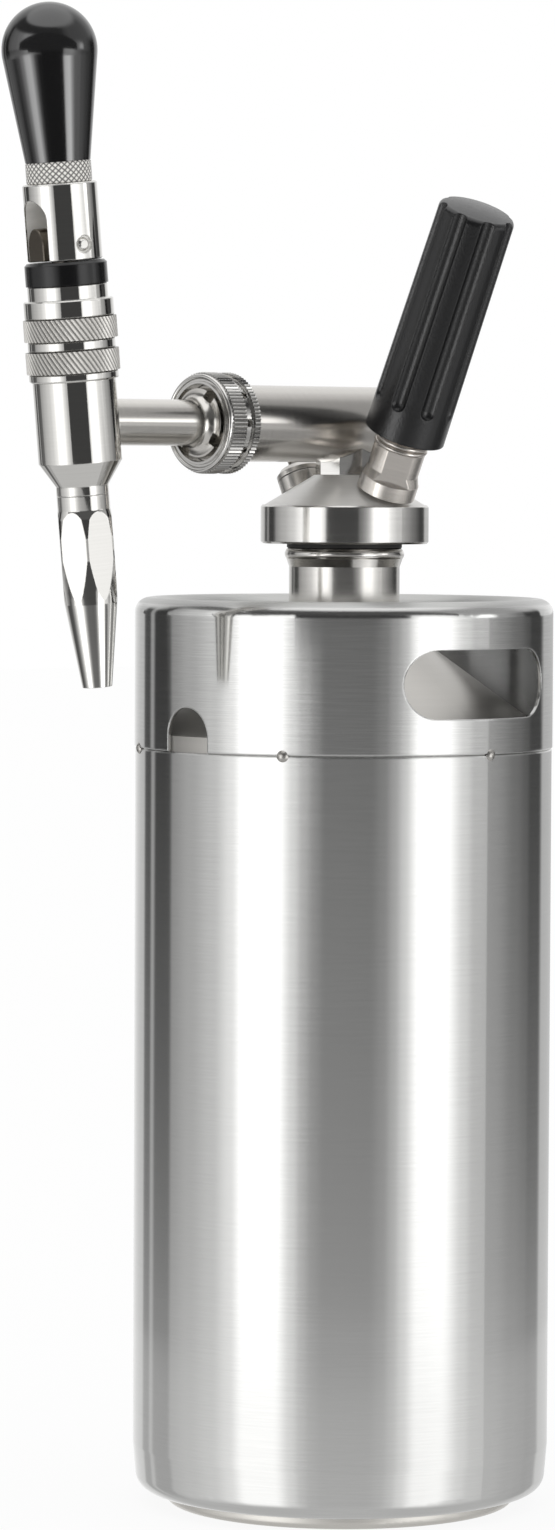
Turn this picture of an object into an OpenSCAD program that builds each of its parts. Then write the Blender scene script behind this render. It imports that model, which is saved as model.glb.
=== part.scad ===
// Nitro cold brew dispenser: a mini keg with a screwed tap head, a gas charger and a stout faucet.
// Millimetres. The origin is on the keg's axis where its foot stands, +Z is up, the tap arm points to -Y,
// the gas charger leans to +X and the relief valve leans to -X.

/* [Keg] */
// Outer diameter of the keg body
keg_d = 133; // [124:0.5:146]
// Thickness of the keg's sheet steel
sheet_t = 1.2; // [0.8:0.1:1.6]
// Height of the seam between body and collar
seam_h = 242.4; // [200:0.2:280]
// Radius of the rounded base corner
base_round = 5.5; // [4:0.1:8]
// How far the wall draws in towards the base
base_draw_in = 0.8; // [0.2:0.1:2]
// Height of the drawn-in part of the wall above the base
base_draw_h = 15; // [10:0.5:25]
// Outer diameter of the foot ring
foot_d = 111.6; // [90:0.2:114]
// Height of the foot ring
foot_h = 4.4; // [3.6:0.1:8]
// Radius of the foot ring's outer corner
foot_round = 2.5; // [1.5:0.1:3]
// Width of the foot ring's lip on the table
foot_lip = 8; // [6:0.5:12]
// Height of the shoulder above the seam, where it meets the neck
shoulder_h = 39.6; // [32:0.2:46]
// Height of the shoulder's upright skirt
skirt_h = 4.9; // [2:0.1:8]

/* [Collar] */
// Height of the carry collar above the seam
collar_h = 47.6; // [42:0.2:60]
// How far the collar stands proud of the body
collar_proud = 0.25; // [0.1:0.05:0.5]
// Outer radius of the rolled rim
rim_round = 4.8; // [3:0.1:6]
// Width of a hand slot
slot_w = 59.2; // [50:0.2:76]
// Height of a hand slot
slot_h = 21.5; // [18:0.5:26]
// Height of a hand slot's centre above the seam
slot_up = 22; // [18:0.2:25]
// Width of a drain notch
notch_w = 18.6; // [12:0.5:24]
// Height of a drain notch
notch_h = 14.1; // [12:0.5:18]
// Number of weld tacks round the seam
tack_count = 6; // [3:1:12]
// Direction of the first weld tack
tack_start = -59; // [-180:1:180]
// Diameter of the ball that a weld tack is a cap of
tack_d = 4.6; // [3:0.2:6]
// How far a weld tack stands out of the collar
tack_out = 0.8; // [0.3:0.1:1]
// Chamfer of the two edges that meet in the seam
seam_chamfer = 0.4; // [0.2:0.05:0.6]

/* [Neck] */
// Outer diameter of the neck
neck_d = 35.3; // [32:0.1:42]
// Wall of the neck
neck_wall = 1.65; // [1.2:0.05:2.4]
// Height of the neck above the collar's rim
neck_up = 16; // [10:0.2:24]
// Radius of the rolled bead on the neck
bead_r = 2.35; // [1.6:0.05:3]
// How far the bead stands out of the neck
bead_out = 1.4; // [0.8:0.1:2]
// Width of the flat on the bead that the seal sits on
bead_trim = 0.3; // [0.1:0.05:0.5]
// Height of the taper under the bead
bead_skirt = 4; // [3:0.1:6]

/* [Tap cap] */
// Diameter of the cap's flange
cap_d = 53.6; // [48:0.2:64]
// Height of the cap's flange
cap_h = 12.3; // [10:0.1:16]
// Chamfer on the flange's edges
cap_chamfer = 0.6; // [0.3:0.1:1]
// Diameter of the cone at its foot
cone_d = 51; // [48:0.2:52]
// Diameter of the cone at its top
cone_top_d = 19.4; // [19.2:0.1:24]
// Height of the cone
cone_h = 9.5; // [9:0.1:12]
// Thickness of the seal under the flange
seal_t = 1.3; // [0.8:0.1:2]
// Length of the cap's screwed plug
plug_l = 20; // [14:0.5:26]
// Number of sides of the hub
hub_sides = 8; // [6:2:12]
// Width of the hub across its flats
hub_af = 17.4; // [15:0.2:17.6]
// Height of the arm's axis above the cone
arm_up = 16.1; // [14:0.1:20]
// Direction of a corner of the hub
hub_turn = -52.4; // [-180:0.2:180]

/* [Dip tube] */
// Outer diameter of the dip tube
dip_d = 8; // [6:0.2:9]
// Wall of the dip tube
dip_wall = 1; // [0.6:0.1:1.4]
// Gap between the dip tube's end and the keg's floor
dip_gap = 4; // [2:0.5:12]
// Depth of the dip tube's socket in the plug
dip_seat = 12; // [8:0.5:14]
// Diameter of the dip tube's collar
dip_collar_d = 14; // [12:0.2:18]
// Height of the dip tube's collar
dip_collar_h = 6; // [4:0.2:9]

/* [Arm] */
// Outer diameter of the arm tube
arm_d = 24; // [22:0.1:26]
// Bore of the arm tube
arm_bore_d = 15; // [12:0.2:16]
// Reach of the arm tube behind the keg's axis
arm_back = 20; // [16:0.5:30]
// Length of the arm's end plug inside the tube
arm_plug_l = 6; // [4:0.5:10]
// Thickness of the end plug's cap
arm_plug_cap = 2; // [1:0.2:4]
// Distance from the keg's axis to the coupling nut's back
nut_back = 49.8; // [46:0.2:60]
// Diameter of the coupling nut
nut_d = 31.7; // [30:0.1:36]
// Width of the round bead on the nut's front
nut_rim = 1.5; // [1:0.1:2.5]
// Width of the land between the nut's mouth and the groove in its face
nut_land = 0.8; // [0.5:0.1:1]
// Width of the nut's front knurl
nut_band = 5.4; // [4:0.1:8]
// Width of the nut's groove
nut_groove = 3.3; // [3:0.1:5]
// Width of the nut's back knurl
nut_tail = 2.3; // [2:0.1:4]
// Depth of the nut's groove
nut_groove_deep = 1.2; // [0.6:0.1:1.4]
// Number of teeth in the nut's knurl
nut_teeth = 80; // [48:4:100]
// Depth of the nut's knurl
nut_knurl = 0.5; // [0.2:0.05:0.6]
// Number of spanner holes in the nut
nut_holes = 10; // [4:1:12]
// Diameter of a spanner hole
nut_hole_d = 2.6; // [2:0.1:2.8]
// Width of the nut's inner lip behind the retaining ring
nut_lip = 2.2; // [1.4:0.1:3]
// Thickness of the retaining ring
snap_t = 1; // [0.6:0.1:1.4]
// How far the retaining ring stands out of the arm tube
snap_out = 1; // [0.6:0.1:1.4]
// Depth of the retaining ring's groove in the arm tube
snap_in = 0.7; // [0.4:0.1:1]
// Thickness of the coupling washer
washer_t = 1.2; // [0.8:0.1:2]

/* [Gas inlet and relief valve] */
// Lean of both ports
port_lean = 25.3; // [20:0.1:28]
// Distance from the keg's axis to a port's datum
port_out = 19.6; // [19:0.1:21]
// Height of a port's datum above the cone's foot
port_up = 5.4; // [5.2:0.1:7]
// Depth of a port's seat below its datum
port_seat = 1; // [0.6:0.1:1.1]
// Room round a fitting in its seat
port_room = 0.8; // [0.4:0.1:1.2]
// Diameter of the inlet's base ring
inlet_ring_d = 18.8; // [17.6:0.1:19.4]
// Height of the inlet's base ring
inlet_ring_h = 4.7; // [3.6:0.1:5.4]
// Diameter of the inlet body
inlet_d = 16.6; // [15.6:0.1:17]
// Length of the inlet body above its ring
inlet_l = 10.8; // [9:0.1:15]
// Length of the flare from the inlet body to its ring
inlet_flare_l = 3; // [1.5:0.1:4]
// Width across the inlet's wrench flats
inlet_af = 14.4; // [13:0.1:15]
// Direction of the wrench flats about the inlet's axis
inlet_flat_turn = -38; // [-90:1:90]
// Length of the inlet's screwed stub
stub_l = 11; // [8:0.2:12]
// Diameter of the inlet's screwed stub
stub_d = 9; // [8:0.1:10]
// Thickness of one washer under the sleeve
inlet_washer_t = 1.6; // [1:0.1:2]
// Diameter of the washers under the sleeve
inlet_washer_d = 17.4; // [16.8:0.1:19]
// Width of the washers' rings
inlet_washer_w = 1.6; // [1:0.1:2]
// Gap between the washers and the sleeve
sleeve_lift = 1.6; // [0.4:0.1:2.5]
// Diameter of the inlet's screwed nose
nose_d = 20.2; // [19.6:0.1:20.8]
// Length of the inlet's screwed nose
nose_l = 11; // [9:0.2:13]
// Bore of the gas passages
gas_bore_d = 2.6; // [1.6:0.1:3]
// Distance from the keg's axis to the gas drillings in the plug
gas_out = 10.6; // [9.5:0.1:12]
// Diameter of the piercing pin
pierce_d = 1.6; // [1.2:0.1:1.8]
// Diameter of the piercing pin's base
pierce_base_d = 5.2; // [4:0.1:6]
// Height of the piercing pin's base
pierce_base_h = 2.6; // [2:0.1:3]
// Length of the piercing pin with its base
pierce_l = 5.5; // [5:0.1:6.5]
// Depth of the cartridge's seat in the nose
cartridge_seat = 3; // [2.4:0.1:4]
// Thickness of the cartridge's seal
cartridge_seal_t = 1.6; // [1:0.1:2]
// Diameter of the relief valve
relief_d = 14.6; // [12:0.1:15.4]
// Height of the relief valve's body above its seat
relief_h = 4.6; // [4:0.1:8]
// Height of the relief valve's pull cap
pull_h = 3; // [2.6:0.1:5]
// Height of the nub on the pull cap
pull_nub_h = 3.8; // [2:0.1:5]
// Diameter of the hole across the pull cap's nub
pull_hole_d = 1.4; // [0.8:0.1:1.8]
// Bore of the relief valve
relief_bore_d = 5.4; // [4.8:0.1:6]
// Thickness of the relief valve's floor
relief_floor_t = 2; // [1.4:0.1:2.6]
// Height of the relief valve's guide
relief_guide_h = 2; // [1.4:0.1:3]
// Diameter of the relief valve's stem
relief_stem_d = 1.8; // [1.4:0.1:2.2]
// Thickness of the relief valve's poppet
poppet_h = 1.6; // [1.2:0.1:2.2]
// Wire of the relief valve's spring
relief_wire_d = 0.6; // [0.4:0.05:0.7]
// Turns of the relief valve's spring
relief_turns = 4; // [3:0.5:6]

/* [Charger] */
// Length of the charger sleeve
sleeve_l = 77.2; // [74:0.2:90]
// Diameter of the sleeve at its foot
sleeve_d = 25.8; // [25.4:0.1:30]
// Diameter of the sleeve at its top
sleeve_top_d = 24.4; // [24:0.1:29]
// Radius of the sleeve's top edge
sleeve_round = 2; // [1.4:0.1:2.4]
// Height of the dome on the sleeve's top
sleeve_dome = 0.8; // [0.4:0.1:1.2]
// Thickness of the sleeve's closed end
sleeve_top_t = 2.4; // [2:0.1:4]
// Number of grooves along the sleeve
sleeve_ribs = 8; // [5:1:10]
// Width of the cutter of a groove
rib_d = 5.2; // [3:0.1:6]
// Depth of a groove
rib_deep = 1.7; // [0.8:0.1:1.8]
// Height of the plain band below the grooves
rib_start = 9.5; // [6:0.5:16]
// Diameter of the gas cartridge
cartridge_d = 17.8; // [17:0.1:18]
// Diameter of the cartridge's neck
cartridge_neck_d = 8.4; // [7.6:0.1:8.8]
// Length of the cartridge's neck
cartridge_neck_l = 7; // [6:0.1:8]
// Height of the cartridge's shoulder
cartridge_shoulder = 6; // [5:0.1:8]
// Wall of the cartridge
cartridge_wall = 1.2; // [0.8:0.1:1.6]

/* [Faucet] */
// Distance from the keg's axis to the faucet's axis at the arm
faucet_out = 111.3; // [104:0.2:124]
// Lean of the faucet away from the keg
faucet_lean = 5.84; // [0:0.02:9]
// Diameter of the shank
shank_d = 14.4; // [12.6:0.1:15]
// Bore of the shank
shank_bore_d = 8; // [6:0.1:9]
// Diameter of the shank's screwed collar
flare_d = 24.2; // [23.4:0.1:24.4]
// Length of the shank's screwed collar
flare_l = 2; // [1.6:0.1:3]
// Diameter of the bell in front of the collar
bell_d = 21.6; // [19:0.1:22.4]
// Length of the bell's straight part
bell_l = 4.9; // [3:0.1:6]
// Number of notches in the bell
bell_notches = 4; // [3:1:8]
// Width of a notch in the bell
bell_notch_w = 4; // [2:0.1:5]
// Depth of a notch in the bell
bell_notch_deep = 2.4; // [1:0.1:2.8]
// Direction of the first notch about the arm
bell_turn = 56; // [-180:1:180]
// Diameter of the faucet body
body_d = 25.7; // [25:0.1:29]
// Height of the body above the arm's axis
body_up = 12.7; // [11:0.1:18]
// Depth of the body below the arm's axis
body_down = 12.3; // [11.5:0.1:18]
// Length of the body's lower cone
body_cone_l = 7.3; // [6:0.1:12]
// Diameter of the body's lower neck
body_neck_d = 16.2; // [15.6:0.1:17.5]
// Length of the body's lower neck
body_neck_l = 2.8; // [2:0.05:4]
// Diameter of the valve chamber
chamber_d = 15; // [14.4:0.1:16]
// Depth of the valve seat below the arm's axis
seat_down = 9.8; // [9:0.1:11]
// Thickness of the valve seat
seat_t = 2.4; // [1.6:0.1:3]
// Diameter of the hole in the valve seat
seat_d = 8; // [6:0.1:9]
// Diameter of the socket for the spout
socket_d = 13; // [12:0.1:13.4]
// Thickness of the restrictor disc
disc_t = 1.6; // [1:0.1:2]
// Number of holes in the restrictor disc
disc_holes = 5; // [3:1:7]
// Diameter of a hole in the restrictor disc
disc_hole_d = 1.6; // [0.8:0.1:2]

/* [Spout] */
// Length of the spout below the body
spout_l = 59.4; // [50:0.05:80]
// Width of the spout over its flats
spout_af = 16.4; // [15.6:0.1:17]
// Diameter of the spout's belly, which the flats cut
belly_d = 18.5; // [17.6:0.1:19]
// Distance from the spout's top to its belly
belly_down = 13; // [11:0.5:15]
// Length of the spout's belly
belly_l = 7; // [4:0.5:9]
// Diameter of the spout's shoulder above the belly
shoulder_d = 17.6; // [17.2:0.1:18.2]
// Distance from the spout's top to its shoulder
shoulder_down = 7.2; // [6.4:0.1:9]
// Number of flats round the spout
flat_count = 6; // [4:1:8]
// Distance from the spout's top to the top of a flat
flat_down = 4.6; // [3.6:0.1:6]
// Distance from the spout's top to the foot of a flat
flat_end = 33.5; // [28:0.5:40]
// Direction of the first flat
flat_turn = -8.5; // [-60:0.5:60]
// Diameter of the spout's tip
spout_tip_d = 9.2; // [8.4:0.1:11]
// Bore of the spout's tip
spout_bore_d = 6.4; // [5:0.1:7]
// Bore of the spout's top
spout_in_d = 9; // [7:0.1:9.4]
// Diameter of the spout's seal ring
spout_seal_d = 1.2; // [1:0.1:1.4]

/* [Bonnet] */
// Diameter of the ring on the body
body_ring_d = 27.5; // [26.6:0.1:31]
// Height of the ring on the body
body_ring_h = 2.6; // [2:0.1:4]
// Diameter of the knurled rings
knurl_d = 28.7; // [27.6:0.1:33]
// Height of a knurled ring
knurl_h = 6.7; // [5:0.1:9]
// Number of teeth in a knurled ring
knurl_teeth = 56; // [40:4:96]
// Depth of the rings' knurl
knurl_deep = 0.45; // [0.2:0.05:0.6]
// Slant of the knurl over the height of a ring
knurl_slant = 18; // [5:1:25]
// Diameter of the sleeve between the knurled rings
waist_d = 26.9; // [26:0.1:30]
// Height of the sleeve between the knurled rings
waist_h = 3.2; // [2:0.1:5]
// Diameter of the screwed spigot inside the rings
spigot_d = 22.8; // [21:0.1:23.4]
// Diameter of the bonnet cap's lower step
bonnet_d = 27.6; // [26.6:0.1:31]
// Height of the bonnet cap's lower step
bonnet_h = 5.6; // [4:0.1:8]
// Diameter of the bonnet cap's upper step
bonnet_top_d = 24.6; // [23:0.1:26]
// Height of the bonnet cap's upper step
bonnet_top_h = 4.5; // [4:0.1:7]
// Chamfer on the edges of the turned rings
edge_chamfer = 0.4; // [0.2:0.05:0.6]
// Diameter of the black wear ring
wear_d = 25.3; // [24:0.1:28]
// Height of the black wear ring
wear_h = 7; // [5:0.1:9]
// Chamfer on the wear ring's top edge
wear_chamfer = 0.8; // [0.4:0.1:1.2]

/* [Lever] */
// Diameter of the valve stem
stem_d = 8; // [7:0.1:8.6]
// Height of the stem's tongue above the pivot
tongue_up = 5.4; // [4.2:0.1:5.6]
// Diameter of the stem's seal rings
oring_d = 1; // [0.8:0.05:1.2]
// Distance between the stem's seal rings, and from the bonnet's foot to the first
oring_pitch = 2.2; // [1.8:0.1:2.4]
// Diameter of the plunger
plunger_d = 12; // [11:0.1:13]
// Height of the plunger
plunger_h = 5.2; // [4:0.1:6]
// Thickness of the plunger's floor
plunger_floor = 1.4; // [1:0.1:2]
// Direction of the lever's pivot about the faucet's axis
lever_turn = -7; // [-30:0.5:30]
// Diameter of the lever hood
hood_d = 22.9; // [22:0.1:26]
// Length of the lever hood
hood_l = 23.6; // [21.6:0.1:28]
// Gap between the hood and the wear ring
hood_gap = 0.3; // [0.25:0.05:1.5]
// Width of the hood's slot
hood_slot_w = 12.2; // [9.6:0.1:13]
// Height of the hood's slot
hood_slot_h = 18.8; // [18:0.1:20]
// Depth of the hood's slot behind the axis
hood_slot_back = 6.6; // [6.4:0.1:7.4]
// Radius of the hood's cam edge
cam_r = 4; // [3:0.1:4.4]
// Height of the pivot above the hood's foot
pivot_up = 4.8; // [4.6:0.1:6]
// Diameter of the pivot pin
pivot_d = 4; // [3:0.1:4.2]
// Diameter of the counterbore round the pin's head
pivot_recess_d = 5.4; // [4.8:0.1:6.8]
// Depth of the counterbore round the pin's head
pivot_recess = 1; // [0.6:0.1:1.4]
// Diameter of the knurled lock ring
lock_d = 20.1; // [19:0.1:22]
// Height of the knurled lock ring
lock_h = 6.6; // [4:0.1:8]
// Chamfer on the lock ring's edges
lock_chamfer = 0.4; // [0.2:0.1:0.8]
// Diameter of the handle's round head
handle_d = 29.3; // [26:0.1:36]
// Diameter of the handle's foot
handle_foot_d = 20; // [18:0.1:22]
// Height of the handle's round head above its foot
handle_l = 33.7; // [30:0.1:60]
// Diameter of the handle's stud
stud_d = 8; // [6:0.1:9]
// Reach of the stud into the handle
stud_l = 20; // [12:0.5:24]

/* [Fits] */
// Clearance of parts that turn or slide in each other
fit = 0.1; // [0.05:0.01:0.12]
// Clearance of parts that pass each other
gap = 0.3; // [0.2:0.05:0.4]

/* [Hidden] */
$fn = 96;

steel = "silver";
bright_steel = "gainsboro";
satin_steel = "darkgray";
black_plastic = "dimgray";
black_rubber = "black";

// A cut reaches this far past the faces that it opens
over = 1;
// Facets of the few wide rounds that need a finer mesh than the rest
seam_fn = 720;
// Rings of a coil for each turn, and sides of its wire
coil_rings = 14;
coil_sides = 6;
// Steps of the slanting knurl over the height of a ring
knurl_steps = 4;

// Keg
keg_r = keg_d / 2;
foot_r = foot_d / 2;
base_draw_z = foot_h + base_draw_h;
collar_r = keg_r + collar_proud;
collar_in_r = collar_r - sheet_t;
rim_z = seam_h + collar_h;
shoulder_z = seam_h + shoulder_h;
skirt_z = seam_h + skirt_h;
neck_r = neck_d / 2;
neck_in_r = neck_r - neck_wall;
neck_top = rim_z + neck_up;
shoulder_slope = (shoulder_z - skirt_z) / (collar_in_r - neck_r);
shoulder_drop = sheet_t * sqrt(1 + shoulder_slope * shoulder_slope);

// Tap head
cap_r = cap_d / 2;
cap_z = neck_top + seal_t;
cone_z = cap_z + cap_h;
cone_top_z = cone_z + cone_h;
plug_r = neck_in_r - fit;
plug_z = cap_z - plug_l;
arm_z = cone_top_z + arm_up;
arm_r = arm_d / 2;
arm_bore_r = arm_bore_d / 2;
dip_r = dip_d / 2;
dip_bore_r = dip_r - dip_wall;
dip_top_z = plug_z + dip_seat;
hub_corner_r = hub_af / 2 / cos(180 / hub_sides);

// Coupling, measured forwards from the keg's axis
nut_r = nut_d / 2;
nut_l = nut_rim + nut_band + nut_groove + nut_tail;
snap_at = nut_back + nut_lip + gap;
arm_front = snap_at + 2 * snap_t;
flare_at = arm_front + washer_t;
bell_r = bell_d / 2;
bell_round = bell_r - shank_d / 2;
bell_at = flare_l + bell_l;
nut_in_r = flare_d / 2 + fit;
nut_recess_r = arm_r + snap_out + gap;
nut_recess_l = snap_t + 2 * gap;

// Gas inlet, measured along its leaning axis
inlet_ring_top = inlet_ring_h - port_seat;
inlet_flare_top = inlet_ring_top + inlet_flare_l;
inlet_top = inlet_ring_top + inlet_l;
sleeve_at = inlet_top + 2 * inlet_washer_t + sleeve_lift;
nose_at = sleeve_at;
nose_top = nose_at + nose_l;
seal_at = nose_top - cartridge_seat;
pin_at = seal_at - pierce_base_h;
pierce_base_r = pierce_base_d / 2;
neck_tip_at = seal_at + cartridge_seal_t + gap;
inlet_waist_r = inlet_washer_d / 2 - inlet_washer_w;
sleeve_top = sleeve_at + sleeve_l;
cartridge_top = sleeve_top - sleeve_top_t - gap;
cartridge_r = cartridge_d / 2;
cavity_r = cartridge_r + gap;
shoulder_at = neck_tip_at + cartridge_neck_l;
cartridge_wide_at = shoulder_at + cartridge_shoulder;
cavity_at = nose_top + gap;
sleeve_tilt = atan((sleeve_d - sleeve_top_d) / 2 / sleeve_l);
gas_bore_r = gas_bore_d / 2;

// Relief valve, measured along its leaning axis
relief_r = relief_d / 2;
relief_top = relief_h - port_seat;
relief_bore_r = relief_bore_d / 2;
relief_floor = relief_floor_t - port_seat - stub_l;
relief_guide_at = relief_top - relief_guide_h;
relief_stem_r = relief_stem_d / 2;
poppet_r = relief_bore_r - fit;
poppet_at = relief_floor + fit;
pull_at = relief_top + gap;
relief_spring_from = poppet_at + poppet_h + relief_wire_d / 2 + fit;
relief_spring_to = relief_guide_at - relief_wire_d / 2 - fit;
relief_coil_r = relief_bore_r - relief_wire_d / 2 - gap;

// Faucet, measured up its own axis from the arm's axis
body_r = body_d / 2;
cone_at = -body_down - body_cone_l;
spout_at = cone_at - body_neck_l;
seat_at = -seat_down;
disc_at = seat_at - seat_t - disc_t;
spigot_top = disc_at - gap;
spout_tip = spout_at - spout_l;
spout_seal_at = (spout_at + spigot_top) / 2;
spout_seal_r = (socket_d - spout_seal_d) / 2 - fit;
spout_flat_r = spout_af / 2;
spigot_r = spigot_d / 2;
knurl_low_at = body_up + body_ring_h;
waist_at = knurl_low_at + knurl_h;
knurl_high_at = waist_at + waist_h;
bonnet_at = knurl_high_at + knurl_h;
bonnet_step = bonnet_at + bonnet_h;
wear_at = bonnet_step + bonnet_top_h;
hood_at = wear_at + wear_h + hood_gap;
hood_top = hood_at + hood_l;
hood_r = hood_d / 2;
pivot_at = hood_at + pivot_up;
lock_at = hood_top;
handle_at = lock_at + lock_h;
head_at = handle_at + handle_l;
head_r = handle_d / 2;
handle_foot_r = handle_foot_d / 2;
handle_flare = asin(head_r / norm([handle_foot_r, handle_l])) - atan2(handle_foot_r, handle_l);
stem_r = stem_d / 2;
stem_foot = seat_at + fit + plunger_h;
guide_r = stem_r + fit;
oring_at = [bonnet_at + oring_pitch, bonnet_at + 2 * oring_pitch];
oring_r = stem_r - oring_d / 2;
oring_groove = oring_d + fit;
stem_peg_r = stem_r / 2;
stem_peg_l = plunger_h - plunger_floor;

// Puts children on a leaning port: side 1 is the gas inlet, side -1 the relief valve
module at_port(side) {
    translate([side * port_out, 0, cone_z + port_up])
        rotate([0, side * port_lean, 0])
            children();
}

// Puts children on the faucet's axis, with the arm's axis at height 0
module at_faucet() {
    translate([0, -faucet_out, arm_z])
        rotate([faucet_lean, 0, 0])
            children();
}

// Puts children on the faucet's axis, turned with the lever
module at_lever() {
    at_faucet()
        rotate([0, 0, lever_turn])
            children();
}

// Puts children on the arm's axis, with height counted forwards from the keg's axis
module along_arm(from) {
    translate([0, -from, arm_z])
        rotate([90, 0, 0])
            children();
}

// A straight pipe from a height to a height
module pipe(from, to, r, bore) {
    translate([0, 0, from])
        difference() {
            cylinder(h = to - from, r = r);
            translate([0, 0, -over])
                cylinder(h = to - from + 2 * over, r = bore);
        }
}

// A round bar from a height to a height
module bar(from, to, r) {
    translate([0, 0, from])
        cylinder(h = to - from, r = r);
}

// A cone from a height to a height
module taper(from, to, r_from, r_to) {
    translate([0, 0, from])
        cylinder(h = to - from, r1 = r_from, r2 = r_to);
}

// A round bar whose two edges are chamfered
module turned_bar(from, to, r) {
    taper(from, from + edge_chamfer, r - edge_chamfer, r);
    bar(from + edge_chamfer, to - edge_chamfer, r);
    taper(to - edge_chamfer, to, r, r - edge_chamfer);
}

// A seal ring of round section
module round_ring(at, r, d) {
    translate([0, 0, at])
        rotate_extrude()
            translate([r, 0])
                circle(d = d);
}

// The outline of a knurled ring
module knurl_outline(r, deep, teeth) {
    pitch = 360 / teeth;
    polygon([
        for (i = [0 : teeth - 1], half = [0, 1])
            (r - half * deep) * [cos((i + half / 2) * pitch), sin((i + half / 2) * pitch)]
    ]);
}

// A coil spring of round wire: one tube along a helix with closed ends
function helix_point(turn, from, to, turns, r) =
    [r * cos(360 * turn), r * sin(360 * turn), from + (to - from) * turn / turns];

function coil_points(from, to, turns, r, wire, rings, sides) = [
    for (i = [0 : rings], k = [0 : sides - 1])
        let (
            turn = turns * i / rings,
            out = [cos(360 * turn), sin(360 * turn), 0],
            side = [cos(360 * k / sides), sin(360 * k / sides)]
        )
        helix_point(turn, from, to, turns, r) + wire / 2 * (side[0] * out + side[1] * [0, 0, 1])
];

function coil_faces(rings, sides) = concat(
    [for (i = [0 : rings - 1], k = [0 : sides - 1])
        [i * sides + k, i * sides + (k + 1) % sides, (i + 1) * sides + k]],
    [for (i = [0 : rings - 1], k = [0 : sides - 1])
        [i * sides + (k + 1) % sides, (i + 1) * sides + (k + 1) % sides, (i + 1) * sides + k]],
    [for (k = [1 : sides - 2]) [0, k + 1, k]],
    [for (k = [1 : sides - 2]) [rings * sides, rings * sides + k, rings * sides + k + 1]]
);

module coil(from, to, turns, r, wire) {
    rings = ceil(turns * coil_rings);
    polyhedron(
        coil_points(from, to, turns, r, wire, rings, coil_sides),
        coil_faces(rings, coil_sides)
    );
}

// The keg's filled outline, drawn in by a wall's thickness
module keg_outline(inset, top, chamfer) {
    corner = [keg_r - base_draw_in - base_round, foot_h + base_round];
    translate(corner)
        circle(r = base_round - inset);
    polygon([
        [0, foot_h + inset],
        [corner[0], foot_h + inset],
        [corner[0] + base_round - inset, corner[1]],
        [keg_r - inset, base_draw_z],
        [keg_r - inset, top - chamfer],
        [keg_r - inset - chamfer, top],
        [0, top]
    ]);
}

module keg_body() {
    color(steel)
        rotate_extrude()
            difference() {
                keg_outline(0, seam_h, seam_chamfer);
                keg_outline(sheet_t, seam_h + over, 0);
            }
}

module keg_foot_ring() {
    color(satin_steel)
        rotate_extrude() {
            translate([foot_r - sheet_t, foot_round])
                square([sheet_t, foot_h - foot_round]);
            translate([foot_r - foot_lip, 0])
                square([foot_lip - foot_round, sheet_t]);
            intersection() {
                translate([foot_r - foot_round, foot_round])
                    difference() {
                        circle(r = foot_round);
                        circle(r = foot_round - sheet_t);
                    }
                translate([foot_r - foot_round, 0])
                    square(foot_round);
            }
        }
}

module keg_shoulder() {
    color(satin_steel)
        rotate_extrude()
            polygon([
                [collar_in_r - sheet_t, seam_h],
                [collar_in_r, seam_h],
                [collar_in_r, skirt_z],
                [neck_r, shoulder_z],
                [neck_r, shoulder_z - shoulder_drop],
                [collar_in_r - sheet_t, skirt_z + sheet_t * shoulder_slope - shoulder_drop]
            ]);
}

module keg_neck() {
    bead_z = neck_top + bead_trim - bead_r;
    foot_z = shoulder_z - shoulder_drop;
    color(steel)
        difference() {
            union() {
                bar(foot_z, bead_z, neck_r);
                taper(bead_z - bead_skirt, bead_z, neck_r, neck_r + bead_out);
                intersection() {
                    union() {
                        round_ring(bead_z, neck_r + bead_out - bead_r, 2 * bead_r);
                        bar(bead_z - bead_r, neck_top, neck_r + bead_out - bead_r);
                    }
                    bar(bead_z - bead_r, neck_top, neck_r + bead_out + over);
                }
            }
            bar(foot_z - over, neck_top + over, neck_in_r);
        }
}

// A hand slot: an upright bar with round ends, cut through both sides of the collar
module hand_slot() {
    end = (slot_w - slot_h) / 2;
    translate([0, 0, seam_h + slot_up])
        rotate([90, 0, 90])
            linear_extrude(height = 2 * (collar_r + over), center = true) {
                square([2 * end, slot_h], center = true);
                for (side = [-1, 1])
                    translate([side * end, 0])
                        circle(d = slot_h);
            }
}

// A drain notch: an arch open at the seam, cut through both sides of the collar
module drain_notch() {
    translate([0, 0, seam_h])
        rotate([90, 0, 0])
            linear_extrude(height = 2 * (collar_r + over), center = true) {
                translate([-notch_w / 2, -over])
                    square([notch_w, notch_h - notch_w / 2 + over]);
                translate([0, notch_h - notch_w / 2])
                    circle(d = notch_w);
            }
}

module keg_collar() {
    color(steel)
        difference() {
            rotate_extrude() {
                polygon([
                    [collar_in_r, seam_h],
                    [collar_r - seam_chamfer, seam_h],
                    [collar_r, seam_h + seam_chamfer],
                    [collar_r, rim_z - rim_round],
                    [collar_in_r, rim_z - rim_round]
                ]);
                intersection() {
                    translate([collar_r - rim_round, rim_z - rim_round])
                        difference() {
                            circle(r = rim_round);
                            circle(r = rim_round - sheet_t);
                        }
                    translate([collar_r - 2 * rim_round, rim_z - rim_round])
                        square([2 * rim_round, rim_round]);
                }
            }
            hand_slot();
            drain_notch();
        }
}

module collar_weld_tacks() {
    color(satin_steel)
        for (i = [0 : tack_count - 1])
            rotate([0, 0, tack_start + i * 360 / tack_count])
                difference() {
                    translate([collar_r + tack_out - tack_d / 2, 0, seam_h])
                        sphere(d = tack_d);
                    bar(seam_h - tack_d, seam_h, keg_r, $fn = seam_fn);
                    bar(seam_h, seam_h + tack_d, collar_r, $fn = seam_fn);
                }
}

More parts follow.
